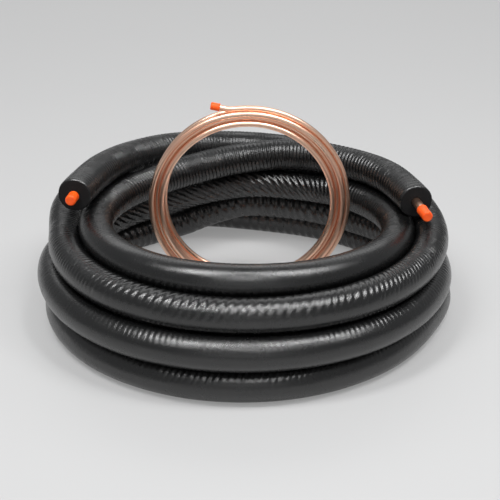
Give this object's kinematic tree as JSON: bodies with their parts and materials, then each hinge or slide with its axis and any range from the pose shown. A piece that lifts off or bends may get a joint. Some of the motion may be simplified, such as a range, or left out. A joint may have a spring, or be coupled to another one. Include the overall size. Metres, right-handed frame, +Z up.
{
  "type": "refrigerant line set",
  "caption": "Coiled copper refrigerant lines: a foam-insulated suction line wound flat and a bare liquid line coil standing in its eye, each end closed by a plastic cap.",
  "frame": {"origin": "middle of the whole set's bounding box, on the floor", "axes": "+Z up; -Y towards the side that the picture shows in front, where both capped ends of the insulated line point; +X to the right in that view"},
  "size_m": [0.4546, 0.469, 0.2284],
  "materials": {
    "foam_insulation": "matte black closed-cell foam with a fine wrinkled skin",
    "copper": "bright drawn copper",
    "orange_plastic": "soft gloss"
  },
  "bodies": {
    "root": {"insulation_sleeve": "foam_insulation", "suction_tube": "copper", "suction_cap_left": "orange_plastic", "suction_cap_right": "orange_plastic", "liquid_tube": "copper", "liquid_cap_upper": "orange_plastic", "liquid_cap_lower": "orange_plastic"}
  },
  "joints": []
}
